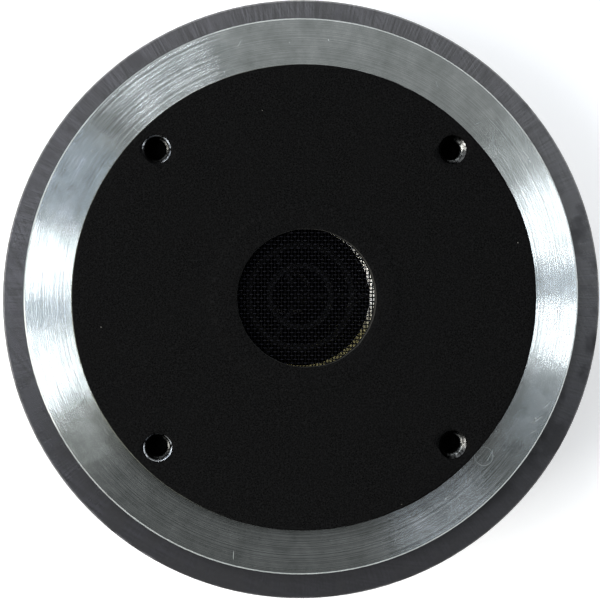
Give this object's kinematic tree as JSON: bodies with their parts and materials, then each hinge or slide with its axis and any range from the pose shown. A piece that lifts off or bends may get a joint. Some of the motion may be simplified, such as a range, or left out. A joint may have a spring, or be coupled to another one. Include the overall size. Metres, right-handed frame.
{
  "type": "compression driver",
  "caption": "Round compression driver for a horn: turned steel throat plate with bolt-on face, foam gasket and woven throat screen, ferrite ring magnet, closed rear cover, push-on blades.",
  "frame": {"origin": "centre of the machined mounting face of the throat plate, on the throat's axis", "axes": "+Z out of the throat, towards the horn; -Y towards the terminals in the side of the rear cover"},
  "size_m": [0.1482, 0.1482, 0.0645],
  "materials": {
    "gasket_foam": "matte closed-cell foam",
    "screen_wire": "black woven wire cloth",
    "turned_steel": "turned and zinc plated",
    "ferrite": "ground dark grey",
    "copper": "bare copper",
    "plated_steel": "zinc plated",
    "plug_moulding": "moulded black",
    "ring_aluminium": "plain",
    "screw_steel": "blackened",
    "pin_steel": "ground",
    "tinned_brass": "tinned",
    "rear_seal": "matte",
    "cover_casting": "satin black powder coat",
    "pad_foam": "open-cell foam",
    "terminal_moulding": "moulded black",
    "titanium": "satin titanium foil",
    "former_film": "amber polyimide film",
    "coil_wire": "enamelled flat wire"
  },
  "bodies": {
    "driver": {"mounting_gasket": "gasket_foam", "throat_screen": "screen_wire", "pole_yoke": "turned_steel", "ferrite_magnet": "ferrite", "shorting_sleeve": "copper", "top_plate": "plated_steel", "plug_bullet": "plug_moulding", "plug_ring_1": "plug_moulding", "plug_ring_2": "plug_moulding", "plug_outer_ring": "plug_moulding", "diaphragm_ring": "ring_aluminium", "diaphragm_screws": "screw_steel", "locating_pins": "pin_steel", "contact_strips": "tinned_brass", "rear_gasket": "rear_seal", "rear_cover": "cover_casting", "damping_pad": "pad_foam", "terminal_base": "terminal_moulding", "terminal_positive": "tinned_brass", "terminal_negative": "tinned_brass", "cover_screws": "screw_steel"},
    "diaphragm": {"diaphragm_dome": "titanium", "voice_coil_former": "former_film", "voice_coil_winding": "coil_wire", "diaphragm_surround": "former_film"}
  },
  "joints": [
    {"name": "diaphragm_travel", "type": "slide", "parent": "driver", "child": "diaphragm", "axis": [0, 0, 1], "range_m": [-0.0003, 0.0003], "stiffness_N_per_m": 1500, "deforming": ["diaphragm_surround"]}
  ]
}
